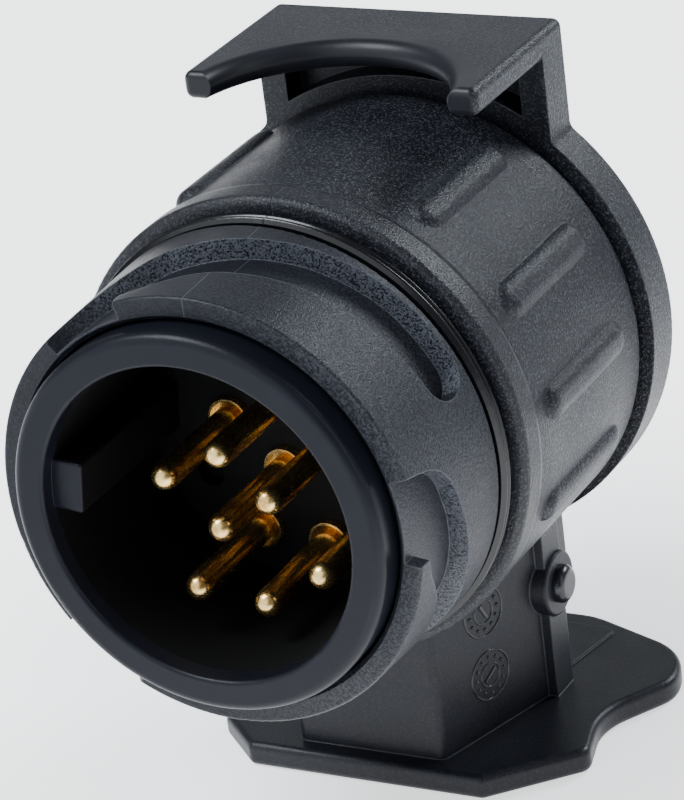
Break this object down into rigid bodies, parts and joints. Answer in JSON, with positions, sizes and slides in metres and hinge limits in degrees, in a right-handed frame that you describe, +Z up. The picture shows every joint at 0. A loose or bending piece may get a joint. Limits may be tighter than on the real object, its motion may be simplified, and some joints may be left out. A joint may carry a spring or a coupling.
{
  "type": "trailer wiring adapter connector",
  "caption": "Short towing adapter: round bayonet plug with gilt pins at the front, socket with a sprung hinged lid at the rear, on a flat foot plate.",
  "frame": {"origin": "on the plug's axis, in the plane of the plug shroud's front rim", "axes": "+Y from the plug's mouth along its axis towards the lid, +Z up from the foot plate towards the lid's finger shelf, +X to the right seen from the plug's mouth"},
  "size_m": [0.0578, 0.0689, 0.0835],
  "materials": {
    "grained_nylon": "fine leather grain, near black",
    "ring_nylon": "coarse spark-eroded grain with smooth lands",
    "shroud_nylon": "smooth satin",
    "insert_nylon": "smooth satin",
    "pin_head_nylon": "semi-gloss",
    "seal_rubber": "soft gloss",
    "gilt_brass": "gold plated, polished",
    "plain_brass": "turned, satin",
    "screw_steel": "zinc plated",
    "spring_steel": "drawn wire and spring strip",
    "lead_sheath": "flexible sheath"
  },
  "bodies": {
    "housing": {"housing": "grained_nylon", "front_collar": "grained_nylon", "coupling_ring": "ring_nylon", "ring_seal": "seal_rubber", "insert_retainer": "spring_steel", "socket_body": "insert_nylon", "socket_screws": "screw_steel", "hinge_pin": "pin_head_nylon", "lid_spring": "spring_steel", "socket_contact_1": "plain_brass", "socket_contact_2": "plain_brass", "socket_contact_3": "plain_brass", "socket_contact_4": "plain_brass", "socket_contact_5": "plain_brass", "socket_contact_6": "plain_brass", "socket_contact_7": "plain_brass", "lead_1": "lead_sheath", "lead_2": "lead_sheath", "lead_3": "lead_sheath", "lead_4": "lead_sheath", "lead_5": "lead_sheath", "lead_6": "lead_sheath", "lead_7": "lead_sheath"},
    "plug_insert": {"plug_shroud": "shroud_nylon", "contact_carrier": "insert_nylon", "plug_pin_1": "gilt_brass", "plug_pin_2": "gilt_brass", "plug_pin_3": "gilt_brass", "plug_pin_4": "gilt_brass", "plug_pin_5": "gilt_brass", "plug_pin_6": "gilt_brass", "plug_pin_7": "gilt_brass"},
    "lid": {"lid": "grained_nylon", "lid_gasket": "seal_rubber"}
  },
  "joints": [
    {"name": "plug_turn", "type": "hinge", "parent": "housing", "child": "plug_insert", "pos_m": [0, 0, 0], "axis": [0, 1, 0], "range_deg": [0, 90]},
    {"name": "lid_hinge", "type": "hinge", "parent": "housing", "child": "lid", "pos_m": [0, 0.0512, -0.031], "axis": [-1, 0, 0], "range_deg": [0, 88], "stiffness_Nm_per_rad": 0.05, "springref_deg": -28.65}
  ]
}
